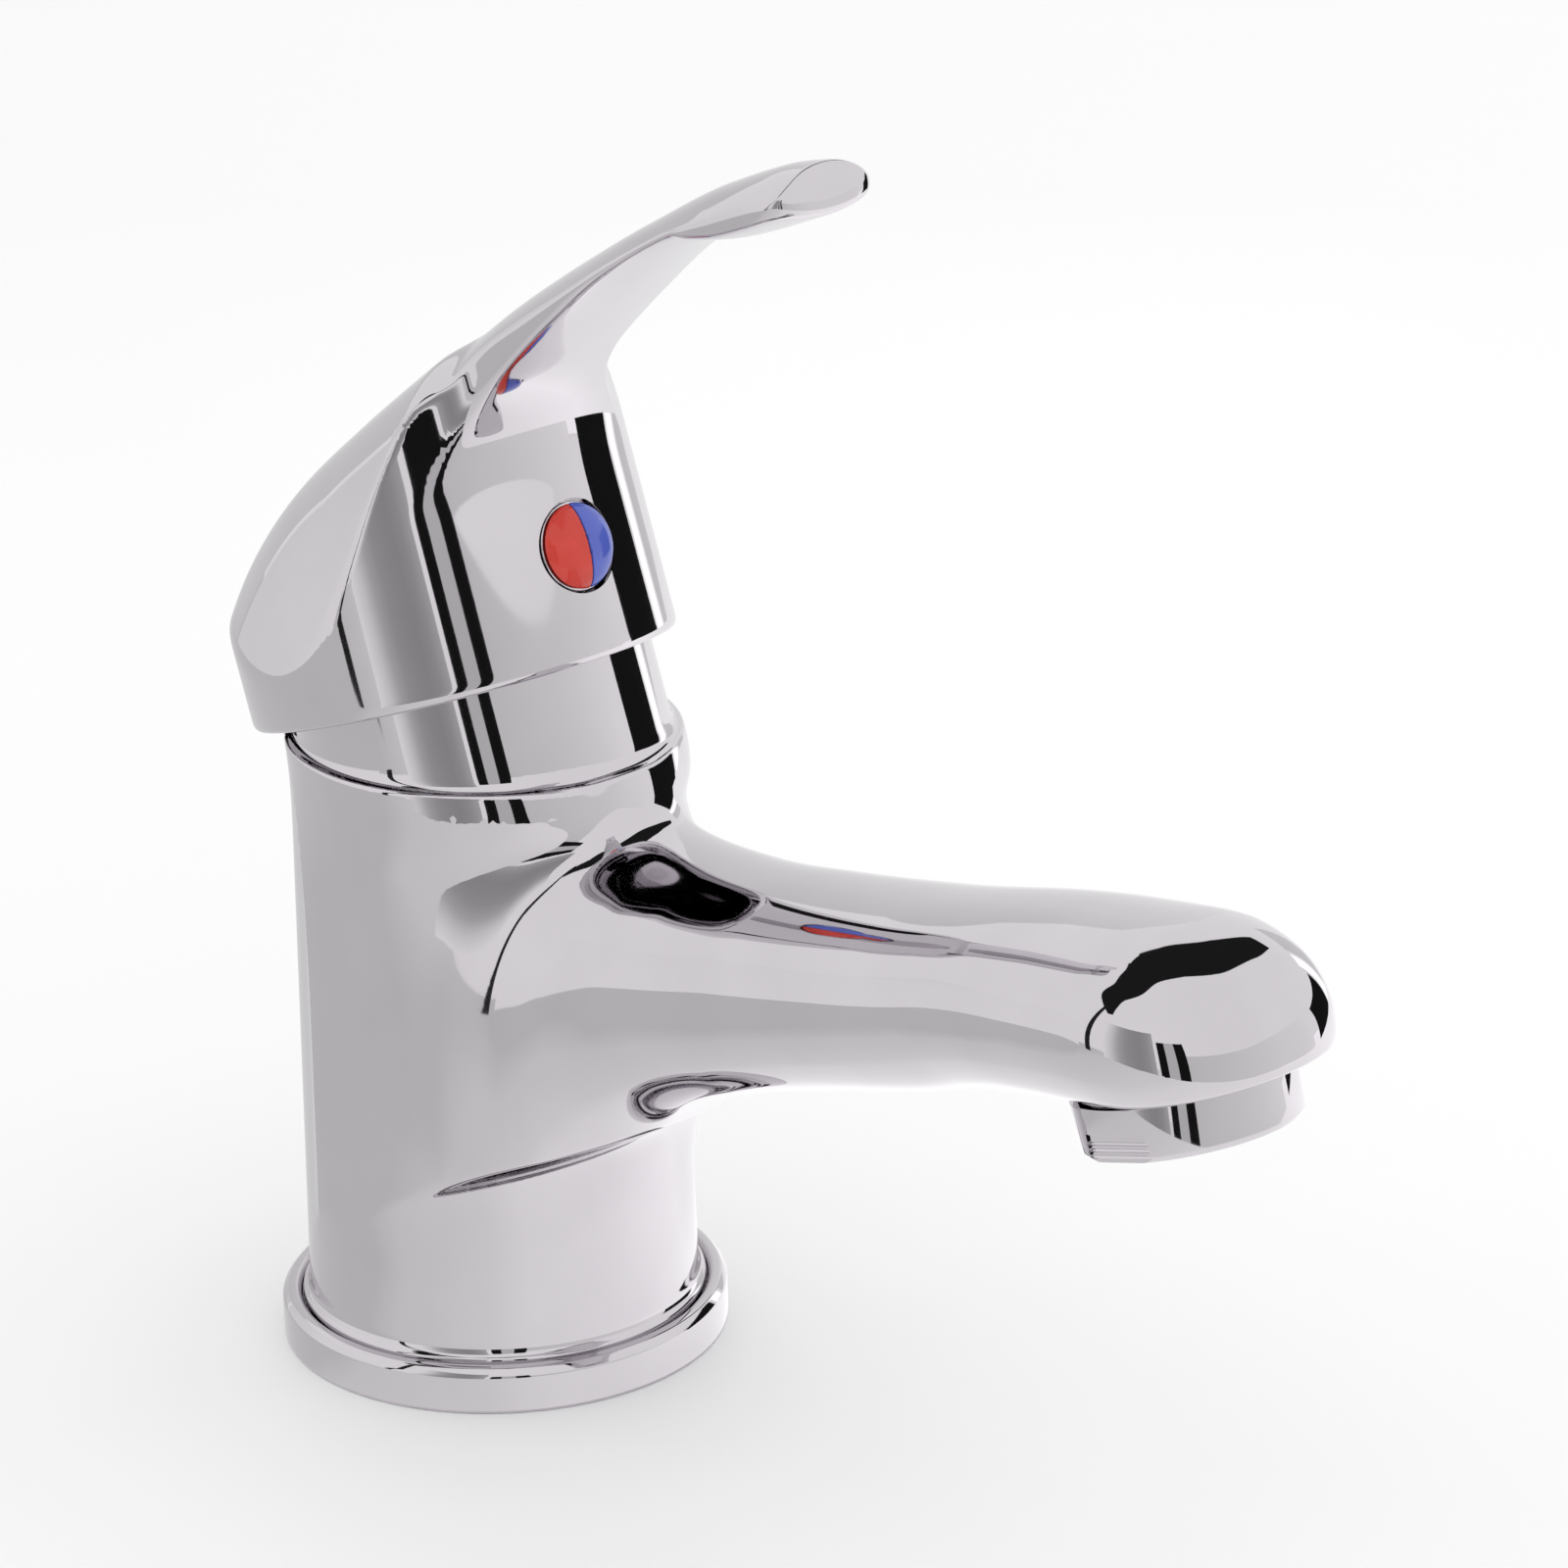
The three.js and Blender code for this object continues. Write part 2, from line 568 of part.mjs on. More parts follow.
// ---- Materials ------------------------------------------------------------------------
const finish = {
  chrome: { color: 0xd9d8dd, roughness: 0.08, metalness: 1 },
  brass: { color: 0xc39a4a, roughness: 0.35, metalness: 1 },
  steel: { color: 0xb8babd, roughness: 0.3, metalness: 1 },
  rubber: { color: 0x1c1c1e, roughness: 0.8, metalness: 0 },
  ceramic: { color: 0xf0ece2, roughness: 0.25, metalness: 0 },
  plastic: { color: 0x6f7479, roughness: 0.5, metalness: 0 },
  red: { color: 0xd63a2c, roughness: 0.2, metalness: 0 },
  blue: { color: 0x4a63c0, roughness: 0.2, metalness: 0 },
};

// ---- Assembly ---------------------------------------------------------------------------
const mixer = new THREE.Group();
const cartridge = new THREE.Group();
cartridge.applyMatrix4(cartridgeFrame);
const outlet = new THREE.Group();
outlet.applyMatrix4(outletFrame);
mixer.add(cartridge, outlet);

function add(group, name, manifold, material) {
  const mesh = new THREE.Mesh(geometryOf(manifold), new THREE.MeshStandardMaterial(finish[material]));
  mesh.name = name;
  group.add(mesh);
}

add(mixer, 'body', makeBody(), 'chrome');
add(mixer, 'base_ring', makeBaseRing(), 'chrome');
add(mixer, 'base_seal', makeBaseSeal(), 'rubber');

add(cartridge, 'hot_port_seal', makePortSeal(PORTS.hot), 'rubber');
add(cartridge, 'cold_port_seal', makePortSeal(PORTS.cold), 'rubber');
add(cartridge, 'mixed_port_seal', makePortSeal(PORTS.mixed), 'rubber');
add(cartridge, 'cartridge_base', makeCartridgeBase(), 'plastic');
add(cartridge, 'cartridge_housing', makeHousing(), 'plastic');
add(cartridge, 'fixed_ceramic_disc', makeFixedDisc(), 'ceramic');
add(cartridge, 'moving_ceramic_disc', makeMovingDisc(), 'ceramic');
add(cartridge, 'disc_carrier', makeCarrier(), 'plastic');
add(cartridge, 'spindle_turret', makeTurret(), 'plastic');
add(cartridge, 'turret_o_ring', makeTurretORing(), 'rubber');
add(cartridge, 'spindle_pivot_pin', makePivotPin(), 'steel');
add(cartridge, 'lever_spindle', makeSpindle(), 'brass');
add(cartridge, 'cartridge_nut', makeNut(), 'brass');
add(cartridge, 'cartridge_cover', makeCover(), 'chrome');
add(cartridge, 'handle', makeHandle(), 'chrome');
add(cartridge, 'handle_set_screw', makeSetScrew(), 'steel');
add(cartridge, 'index_plug', makeIndexPlug(), 'chrome');
add(cartridge, 'index_hot_half', makeIndexHalf(-1), 'red');
add(cartridge, 'index_cold_half', makeIndexHalf(1), 'blue');

add(outlet, 'aerator_housing', makeAeratorHousing(), 'chrome');
add(outlet, 'aerator_insert', makeAeratorInsert(), 'plastic');
add(outlet, 'aerator_screen', makeAeratorScreen(), 'steel');
add(outlet, 'aerator_washer', makeAeratorWasher(), 'rubber');

export default mixer;
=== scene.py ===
import math

import bmesh
import bpy
import numpy as np
from mathutils import Matrix, Vector


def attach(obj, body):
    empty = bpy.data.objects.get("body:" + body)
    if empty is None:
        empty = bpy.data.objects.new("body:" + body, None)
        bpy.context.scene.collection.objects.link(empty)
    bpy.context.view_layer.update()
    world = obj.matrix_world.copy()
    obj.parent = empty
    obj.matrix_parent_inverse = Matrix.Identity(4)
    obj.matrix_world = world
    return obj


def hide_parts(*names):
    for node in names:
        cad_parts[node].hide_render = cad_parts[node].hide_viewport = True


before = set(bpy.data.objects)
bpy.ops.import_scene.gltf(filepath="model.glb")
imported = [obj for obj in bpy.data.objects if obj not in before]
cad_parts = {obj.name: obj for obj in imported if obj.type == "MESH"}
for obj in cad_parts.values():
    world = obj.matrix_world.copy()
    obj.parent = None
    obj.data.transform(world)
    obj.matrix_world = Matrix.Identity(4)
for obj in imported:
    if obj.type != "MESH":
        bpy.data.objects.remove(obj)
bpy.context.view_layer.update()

# Shapes are worked out in millimetres and written into the meshes in metres.
MM = 0.001

TILT = math.radians(19.0)          # the cartridge axis leans back
TILT_POINT = np.array([0.0, 0.0, 76.0])
LEAN_X = np.array([1.0, 0.0, 0.0])
LEAN_FRONT = np.array([0.0, -math.cos(TILT), math.sin(TILT)])
LEAN_UP = np.array([0.0, math.sin(TILT), math.cos(TILT)])

JET = math.radians(16.0)           # the jet leans forward
OUTLET_STATION = 107.7             # how far forward the outlet's axis is
RIM_MIDDLE = np.array([0.0, -OUTLET_STATION, 62.6])
JET_UP = np.array([0.0, math.sin(JET), math.cos(JET)])
JET_FRONT = np.array([0.0, -math.cos(JET), math.sin(JET)])


# ---- Smooth shapes -------------------------------------------------------------------
# Each shape is a function that is negative inside the metal and zero on its surface.

def smooth_join(a, b, size):
    """Union with a soft fillet."""
    h = np.clip(size - np.abs(a - b), 0.0, None) / size
    return np.minimum(a, b) - h ** 3 * size / 6.0


def smooth_meet(a, b, size):
    """Intersection with a soft rounding."""
    return -smooth_join(-a, -b, size)


def smooth_step(x, low, high):
    t = np.clip((x - low) / (high - low), 0.0, 1.0)
    return t * t * (3.0 - 2.0 * t)


def curve_through(*points):
    """A smooth curve through (station, value) points, monotone between them."""
    xs = np.array([p[0] for p in points], float)
    ys = np.array([p[1] for p in points], float)
    steps = np.diff(xs)
    slopes = np.diff(ys) / steps
    tangents = np.empty_like(ys)
    tangents[0], tangents[-1] = slopes[0], slopes[-1]
    for i in range(1, len(xs) - 1):
        a, b = slopes[i - 1], slopes[i]
        if a * b <= 0.0:
            tangents[i] = 0.0
        else:
            wa, wb = 2 * steps[i] + steps[i - 1], steps[i] + 2 * steps[i - 1]
            tangents[i] = (wa + wb) / (wa / a + wb / b)

    def read(x):
        inside = np.clip(x, xs[0], xs[-1])
        i = np.clip(np.searchsorted(xs, inside, side="right") - 1, 0, len(xs) - 2)
        h = steps[i]
        t = (inside - xs[i]) / h
        value = (
            (1 + 2 * t) * (1 - t) ** 2 * ys[i]
            + t * (1 - t) ** 2 * h * tangents[i]
            + t * t * (3 - 2 * t) * ys[i + 1]
            + t * t * (t - 1) * h * tangents[i + 1]
        )
        edge = np.where(x < xs[0], tangents[0], tangents[-1])
        return value + (x - inside) * edge

    return read


def lean_coordinates(p):
    d = p - TILT_POINT
    return d @ LEAN_X, d @ LEAN_FRONT, d @ LEAN_UP


def from_lean(x, front, up):
    return (TILT_POINT + np.multiply.outer(x, LEAN_X)
            + np.multiply.outer(front, LEAN_FRONT) + np.multiply.outer(up, LEAN_UP))


def jet_coordinates(p):
    d = p - RIM_MIDDLE
    return d @ LEAN_X, d @ JET_FRONT, d @ JET_UP


# ---- Body: column, leaning neck, spout and nose --------------------------------------
COLUMN_TOP = 74.5
COLUMN_RADIUS = 22.9               # at the foot, narrowing by the taper up to the top
COLUMN_TAPER = 1.0
FOOT_TOP = 5.0
FLARE_RADIUS = 23.6
COLLAR_RADIUS = 21.9
COLLAR_LOW = -13.0
NECK_RADIUS = 21.0
NECK_TOP = 8.0
NOSE_DOME = 16.4
SECTION_POWER = 2.25               # 2 would make the spout's section an ellipse
CARTRIDGE_BORE = 17.7
OUTLET_BORE = 11.3
PORT_RADIUS, PORT_SIDE, PORT_DEPTH = 4.45, 7.5, -3.4
STUD_RADIUS, STUD_DEPTH = 3.4, 11
spout_crown = curve_through(
    (0, 67), (14, 67.2), (22, 67.4), (31, 67.6), (40, 67.9), (53, 69.6), (71, 72.8),
    (88, 76.6), (96, 77.9), (107, 79.2), (124, 80.4))
spout_keel = curve_through(
    (0, 3.5), (14, 5), (20, 10), (24, 19), (27.5, 28), (31.5, 34), (37, 38.8), (49, 44.2), (61, 48.2),
    (77, 52.9), (86, 56), (92, 57.5), (100, 58.8), (107, 59.6), (124, 60.4))
spout_half_width = curve_through(
    (0, 20), (14, 20), (22, 18.6), (34, 16), (50, 14.9), (80, 14.7), (96, 15.5), (107, 16), (124, 16.4))


def column_shape(p):
    r = np.hypot(p[:, 0], p[:, 1])
    wall = r - (COLUMN_RADIUS - COLUMN_TAPER * (p[:, 2] - FOOT_TOP) / (COLUMN_TOP - FOOT_TOP))
    flare = smooth_meet(r - FLARE_RADIUS, p[:, 2] - FOOT_TOP - 0.6, 0.5)
    top = smooth_meet(smooth_join(wall, flare, 2.4), p[:, 2] - COLUMN_TOP, 1.2)
    return smooth_meet(top, -4.0 - p[:, 2], 2.0)


def neck_shape(p):
    x, front, up = lean_coordinates(p)
    r = np.hypot(x, front)
    return np.maximum(smooth_meet(r - NECK_RADIUS, up - NECK_TOP, 2.6), COLUMN_TOP - 1.5 - p[:, 2])


def collar_shape(p):
    """The leaning collar that shows at the front of the column, under the neck."""
    x, front, up = lean_coordinates(p)
    wall = smooth_meet(np.hypot(x, front) - COLLAR_RADIUS, COLLAR_LOW - up, 7.0)
    return smooth_meet(wall, p[:, 2] - COLUMN_TOP, 0.8)


def spout_shape(p):
    """The arm, whose section closes into a dome past the outlet's axis."""
    s = -p[:, 1]
    station = np.minimum(s, OUTLET_STATION)
    crown, keel, half = spout_crown(station), spout_keel(station), spout_half_width(station)
    middle, tall = (crown + keel) / 2, (crown - keel) / 2
    x, front, _ = jet_coordinates(p)
    n = SECTION_POWER
    ratio = ((np.abs(x) / half) ** n + (np.abs(p[:, 2] - middle) / tall) ** n
             + (np.maximum(front, 0.0) / NOSE_DOME) ** n) ** (1 / n)
    return np.maximum((ratio - 1.0) * np.minimum(half, tall), -2.0 - s)


def rim_shape(p):
    """The flat cut across the underside, round the outlet."""
    _, front, up = jet_coordinates(p)
    return -up - 6.0 * smooth_step(-front, 14.0, 26.0)


def body_shape(p):
    arm = smooth_meet(spout_shape(p), rim_shape(p), 1.4)
    column = smooth_join(column_shape(p), collar_shape(p), 3.0)
    casting = smooth_join(column, arm, 13.0)
    ledge = p[:, 2] - COLUMN_TOP - 20.0 * smooth_step(-p[:, 1], 23.0, 40.0)
    return smooth_join(smooth_meet(casting, ledge, 0.8), neck_shape(p), 2.2)


# ---- Handle: round skirt, arched top and lever ---------------------------------------
SKIRT_SIDE, SKIRT_FRONT, SKIRT_BACK = 24.0, 24.8, 27.6
SKIRT_BOTTOM = 4.2
HOLLOW_SHARE = 0.957               # the skirt's hollow, as a share of its outline
HOLLOW_TOP = 12.9
LEVER_TIP = 79.0
BUTTON_UP, BUTTON_FRONT = 17.0, 24.3
handle_crown = curve_through(
    (-27.6, 9.5), (-27, 13), (-25, 17.8), (-21.5, 22.6), (-16.5, 27), (-8.5, 31.6), (3.3, 36.2), (11.4, 39),
    (23.5, 42.9), (31, 45.2), (42.6, 48.1), (53.5, 50.4), (66, 52.4), (74, 52.8), (79.2, 52.3))
lever_under = curve_through(
    (0, 27), (18, 30), (24, 33.4), (31, 37.2), (40, 41.2), (50, 45), (57, 46.8), (61, 47.3),
    (63, 46.8), (68, 46.3), (79.2, 46.8))
lever_half_width = curve_through(
    (0, 9.4), (22, 9.2), (30, 9.4), (45, 9), (60, 8), (70, 7.8), (79.2, 7.4))


def handle_top(x, front):
    side = np.abs(x)
    arch = SKIRT_SIDE * (side / SKIRT_SIDE) ** 3
    half = lever_half_width(front)
    lever = 3.2 * (side / half) ** 2.2
    share = smooth_step(front, 19.0, 24.0)
    return handle_crown(front) - arch * (1 - share) - lever * share


def handle_shape(p):
    x, front, up = lean_coordinates(p)
    length = np.where(front < 0, SKIRT_BACK, SKIRT_FRONT)
    skirt = (np.sqrt((x / SKIRT_SIDE) ** 2 + (front / length) ** 2) - 1.0) * SKIRT_SIDE
    half = lever_half_width(front)
    sides = smooth_meet(np.abs(x) - half, front - LEVER_TIP, 5.0)
    under = (lever_under(front) + 1.2 * (x / half) ** 2 - up) * 0.85
    lever = smooth_meet(sides, under, 2.0)
    whole = smooth_join(skirt, lever, 9.0)
    step = 0.05
    top = handle_top(x, front)
    slope_x = (handle_top(x + step, front) - top) / step
    slope_f = (handle_top(x, front + step) - top) / step
    above = (up - top) / np.sqrt(1 + slope_x ** 2 + slope_f ** 2)
    whole = smooth_meet(whole, above, 0.8)
    return smooth_meet(whole, SKIRT_BOTTOM - up, 1.6)


# ---- Making a mesh follow a smooth shape ---------------------------------------------
def gradient(shape, p, step=0.02):
    g = np.empty_like(p)
    for axis in range(3):
        d = np.zeros(3)
        d[axis] = step
        g[:, axis] = (shape(p + d) - shape(p - d)) / (2 * step)
    return g


def points_of(mesh):
    co = np.empty(len(mesh.vertices) * 3)
    mesh.vertices.foreach_get("co", co)
    return co.reshape(-1, 3)


def edges_of(mesh):
    e = np.empty(len(mesh.edges) * 2, np.int64)
    mesh.edges.foreach_get("vertices", e)
    return e.reshape(-1, 2)


def settle(mesh, shape, rounds, ease=0.5):
    """Moves the points onto the shape's surface, and evens their spacing along it."""
    p = points_of(mesh)
    e = edges_of(mesh)
    count = np.bincount(e.ravel(), minlength=len(p))[:, None]
    for i in range(rounds):
        g = gradient(shape, p)
        size = np.linalg.norm(g, axis=1, keepdims=True)
        n = g / np.maximum(size, 1e-6)
        away = shape(p)[:, None] / np.maximum(size, 0.3)
        p = p - n * np.clip(away, -0.8, 0.8)
        if i < rounds - 3:
            total = np.zeros_like(p)
            for axis in range(3):
                total[:, axis] = (np.bincount(e[:, 0], p[e[:, 1], axis], len(p))
                                  + np.bincount(e[:, 1], p[e[:, 0], axis], len(p)))
            pull = total / np.maximum(count, 1) - p
            pull -= n * np.sum(pull * n, axis=1, keepdims=True)
            p = p + ease * pull
    mesh.vertices.foreach_set("co", p.ravel())
    mesh.update()


def refine(mesh, shape, angle):
    """Halves the faces where the surface turns sharply, then settles them again."""
    p = points_of(mesh)
    g = gradient(shape, p)
    n = g / np.maximum(np.linalg.norm(g, axis=1, keepdims=True), 1e-6)
    e = edges_of(mesh)
    turn = np.sum(n[e[:, 0]] * n[e[:, 1]], axis=1)
    bm = bmesh.new()
    bm.from_mesh(mesh)
    bm.edges.ensure_lookup_table()
    sharp = [bm.edges[i] for i in np.nonzero(turn < math.cos(math.radians(angle)))[0]]
    faces = {f for edge in sharp for v in edge.verts for f in v.link_faces}
    chosen = {edge for f in faces for edge in f.edges}
    bmesh.ops.subdivide_edges(bm, edges=sorted(chosen, key=lambda x: x.index), cuts=1, use_grid_fill=True)
    bmesh.ops.triangulate(bm, faces=[f for f in bm.faces if len(f.verts) > 4])
    bm.to_mesh(mesh)
    bm.free()
    settle(mesh, shape, 6, 0.35)


def remeshed(obj, size):
    bpy.context.view_layer.objects.active = obj
    modifier = obj.modifiers.new("remesh", "REMESH")
    modifier.mode = "VOXEL"
    modifier.voxel_size = size
    modifier.adaptivity = 0.0
    apply_modifiers(obj)


def apply_modifiers(obj):
    depsgraph = bpy.context.evaluated_depsgraph_get()
    new = bpy.data.meshes.new_from_object(obj.evaluated_get(depsgraph))
    obj.modifiers.clear()
    old = obj.data
    obj.data = new
    bpy.data.meshes.remove(old)


def cut_with(obj, tools):
    """Cuts the tools out of obj, and removes them."""
    for tool in tools:
        modifier = obj.modifiers.new("cut", "BOOLEAN")
        modifier.operation = "DIFFERENCE"
        modifier.solver = "MANIFOLD"
        modifier.object = tool
        apply_modifiers(obj)
    for tool in tools:
        bpy.data.objects.remove(tool)


def dress_normals(mesh, shape):
    """Exact shading normals where a face lies on the smooth shape, and flat or plain ones elsewhere."""
    p = points_of(mesh)
    g = gradient(shape, p, 0.01)
    n = g / np.maximum(np.linalg.norm(g, axis=1, keepdims=True), 1e-6)
    on_surface = np.abs(shape(p)) < 0.02
    mesh.set_sharp_from_angle(angle=math.radians(30))
    loops = np.empty(len(mesh.loops), np.int64)
    mesh.loops.foreach_get("vertex_index", loops)
    plain = np.empty(len(mesh.loops) * 3)
    mesh.corner_normals.foreach_get("vector", plain)
    plain = plain.reshape(-1, 3)
    exact = n[loops]
    use = on_surface[loops] & (np.sum(exact * plain, axis=1) > 0.9)
    chosen = np.where(use[:, None], exact, plain)
    mesh.normals_split_custom_set(chosen.tolist())


# ---- Building blocks -----------------------------------------------------------------
def new_object(name, bm):
    mesh = bpy.data.meshes.new(name)
    bm.to_mesh(mesh)
    bm.free()
    obj = bpy.data.objects.new(name, mesh)
    bpy.context.scene.collection.objects.link(obj)
    return obj


def lean_matrix():
    return Matrix((
        (1, 0, 0, 0),
        (0, math.cos(TILT), math.sin(TILT), 0),
        (0, -math.sin(TILT), math.cos(TILT), TILT_POINT[2]),
        (0, 0, 0, 1)))


def jet_matrix():
    return Matrix((
        (1, 0, 0, 0),
        (0, math.cos(JET), math.sin(JET), RIM_MIDDLE[1]),
        (0, -math.sin(JET), math.cos(JET), RIM_MIDDLE[2]),
        (0, 0, 0, 1)))


def add_rod(bm, radius, low, high, matrix=Matrix.Identity(4), sides=96, middle=(0, 0), top_radius=None):
    place = matrix @ Matrix.Translation((middle[0], middle[1], (low + high) / 2))
    bmesh.ops.create_cone(bm, cap_ends=True, segments=sides, radius1=radius,
                          radius2=radius if top_radius is None else top_radius,
                          depth=high - low, matrix=place)


def add_loft(bm, stations, place_ring, sides=32):
    """Extrudes a ring of points through the stations. place_ring(station, angle) gives each point."""
    ring = bmesh.ops.create_circle(bm, cap_ends=True, segments=sides, radius=1.0)["verts"]
    turn = {v: math.atan2(v.co.y, v.co.x) for v in ring}
    face = ring[0].link_faces[0]
    for v, angle in turn.items():
        v.co = place_ring(stations[0], angle)
    for station in stations[1:]:
        grown = bmesh.ops.extrude_face_region(bm, geom=[face])["geom"]
        moved = {}
        for v in [g for g in grown if isinstance(g, bmesh.types.BMVert)]:
            start = next(e.other_vert(v) for e in v.link_edges if e.other_vert(v) in turn)
            moved[v] = turn[start]
        if station != stations[1]:
            bm.faces.remove(face)
        face = next(g for g in grown if isinstance(g, bmesh.types.BMFace))
        for v, angle in moved.items():
            v.co = place_ring(station, angle)
        turn = moved


TURNED_STEPS = 144


def spout_ring(s, angle):
    crown, keel, half = float(spout_crown(s)), float(spout_keel(s)), float(spout_half_width(s))
    c, d = math.cos(angle), math.sin(angle)
    return Vector((half * math.copysign(abs(c) ** 0.89, c), -s,
                   (crown + keel) / 2 + (crown - keel) / 2 * math.copysign(abs(d) ** 0.89, d)))


def lever_ring(front, angle):
    half = float(lever_half_width(front))
    low, high = float(lever_under(front)), float(handle_crown(front))
    c, d = math.cos(angle), math.sin(angle)
    x = half * math.copysign(abs(c) ** 0.7, c)
    up = (low + high) / 2 + (high - low) / 2 * math.copysign(abs(d) ** 0.7, d)
    return Vector(from_lean(np.float64(x), np.float64(front), np.float64(up)).tolist())


def turned(name, profile, rounding, matrix=Matrix.Identity(4)):
    """Spins a closed profile of (radius, height) points, with its corners rounded, about the Z axis."""
    bm = bmesh.new()
    corners = [bm.verts.new((r, 0, z)) for r, z in profile]
    for a, b in zip(corners, corners[1:] + corners[:1]):
        bm.edges.new((a, b))
    bmesh.ops.bevel(bm, geom=corners, offset=rounding, segments=4, profile=0.5, material=-1,
                    affect="VERTICES")
    bmesh.ops.spin(bm, geom=bm.verts[:] + bm.edges[:], axis=(0, 0, 1), cent=(0, 0, 0),
                   steps=TURNED_STEPS, angle=math.tau, use_merge=True)
    bmesh.ops.recalc_face_normals(bm, faces=bm.faces)
    bmesh.ops.transform(bm, verts=bm.verts, matrix=matrix)
    return new_object(name, bm)


def hand_over(obj, body, nodes):
    """Scales a piece to metres, and puts it in place of its CAD nodes."""
    obj.data.transform(Matrix.Scale(MM, 4))
    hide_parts(*nodes)
    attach(obj, body)


def smooth_faces(mesh):
    for polygon in mesh.polygons:
        polygon.use_smooth = True


def finish_piece(obj, shape, cuts, body, nodes):
    cut_with(obj, cuts)
    smooth_faces(obj.data)
    dress_normals(obj.data, shape)
    hand_over(obj, body, nodes)


def rods_to_cut(*rods):
    tools = []
    for i, rod in enumerate(rods):
        bm = bmesh.new()
        add_rod(bm, **rod)
        tools.append(new_object(f"cut_{i}", bm))
    return tools


def make_body():
    bm = bmesh.new()
    add_rod(bm, COLUMN_RADIUS, -4.0, COLUMN_TOP, top_radius=COLUMN_RADIUS - COLUMN_TAPER)
    add_rod(bm, NECK_RADIUS, -12.0, NECK_TOP, lean_matrix())
    add_loft(bm, [2, 12, 18, 22, 26, 31, 38, 48, 60, 75, 86, 97, 106], spout_ring)
    dome = bmesh.ops.create_uvsphere(bm, u_segments=48, v_segments=24, radius=1.0)
    bmesh.ops.transform(bm, verts=dome["verts"],
                        matrix=jet_matrix() @ Matrix.Diagonal((15.8, 15.8, 17.6, 1)))
    bisect_dome(bm, dome["verts"])
    obj = new_object("cast_body", bm)
    remeshed(obj, 0.85)
    settle(obj.data, body_shape, 26)
    refine(obj.data, body_shape, 14)
    refine(obj.data, body_shape, 14)
    step = turned("foot_step", [(21, -6), (30, -6), (30, 4.9), (21, 4.9)], 0.05)
    ports = [dict(radius=PORT_RADIUS, low=-2, high=14, middle=(side * PORT_SIDE, PORT_DEPTH), sides=48)
             for side in (-1, 1)]
    cuts = [step] + rods_to_cut(
        dict(radius=30, low=-9, high=0),
        dict(radius=CARTRIDGE_BORE, low=-22, high=20, matrix=lean_matrix()),
        dict(radius=OUTLET_BORE, low=-3, high=8.6, matrix=jet_matrix()),
        *ports,
        dict(radius=STUD_RADIUS, low=-2, high=16, middle=(0, STUD_DEPTH), sides=48),
    )
    finish_piece(obj, body_shape, cuts, "mixer_body", ["body"])
    return obj


def bisect_dome(bm, verts):
    geom = set(verts)
    for v in verts:
        geom.update(v.link_edges)
        geom.update(v.link_faces)
    matrix = jet_matrix()
    bmesh.ops.bisect_plane(bm, geom=list(geom), dist=1e-4, plane_co=matrix.translation,
                           plane_no=matrix.col[2].to_3d(), clear_inner=True)
    edges = [e for e in bm.edges if e.is_boundary]
    bmesh.ops.contextual_create(bm, geom=edges)


def skirt_point(x, front, up):
    """A point of a unit round, stretched to the skirt's outline."""
    length = SKIRT_BACK if front < 0 else SKIRT_FRONT
    place = from_lean(np.float64(x * SKIRT_SIDE), np.float64(front * length), np.float64(up))
    return Vector(place.tolist())


def handle_hollows():
    """The space under the handle, with the screw's boss left standing in it."""
    bm = bmesh.new()
    skirt = bmesh.ops.create_cone(bm, cap_ends=True, segments=96, radius1=HOLLOW_SHARE,
                                  radius2=HOLLOW_SHARE, depth=1.0)
    for v in skirt["verts"]:
        v.co = skirt_point(v.co.x, -v.co.y, SKIRT_BOTTOM - 1.0 if v.co.z < 0 else HOLLOW_TOP)
    low = new_object("hollow_skirt", bm)
    bm = bmesh.new()
    dome = Matrix.Translation((0, 2.5, 12)) @ Matrix.Diagonal((21, 22.5, 13.5, 1))
    bmesh.ops.create_uvsphere(bm, u_segments=48, v_segments=24, radius=1.0, matrix=lean_matrix() @ dome)
    high = new_object("hollow_dome", bm)
    for hollow in (low, high):
        bm = bmesh.new()
        boss = Matrix.Translation((0, -8.4, 21.2)) @ Matrix.Diagonal((13.6, 30.4, 15.6, 1))
        bmesh.ops.create_cube(bm, size=1.0, matrix=lean_matrix() @ boss)
        cut_with(hollow, [new_object("boss", bm)])
    bm = bmesh.new()
    socket = Matrix.Translation((0, 0, 18.65)) @ Matrix.Diagonal((8.6, 8.6, 13.3, 1))
    bmesh.ops.create_cube(bm, size=1.0, matrix=lean_matrix() @ socket)
    return [low, high, new_object("socket", bm)]


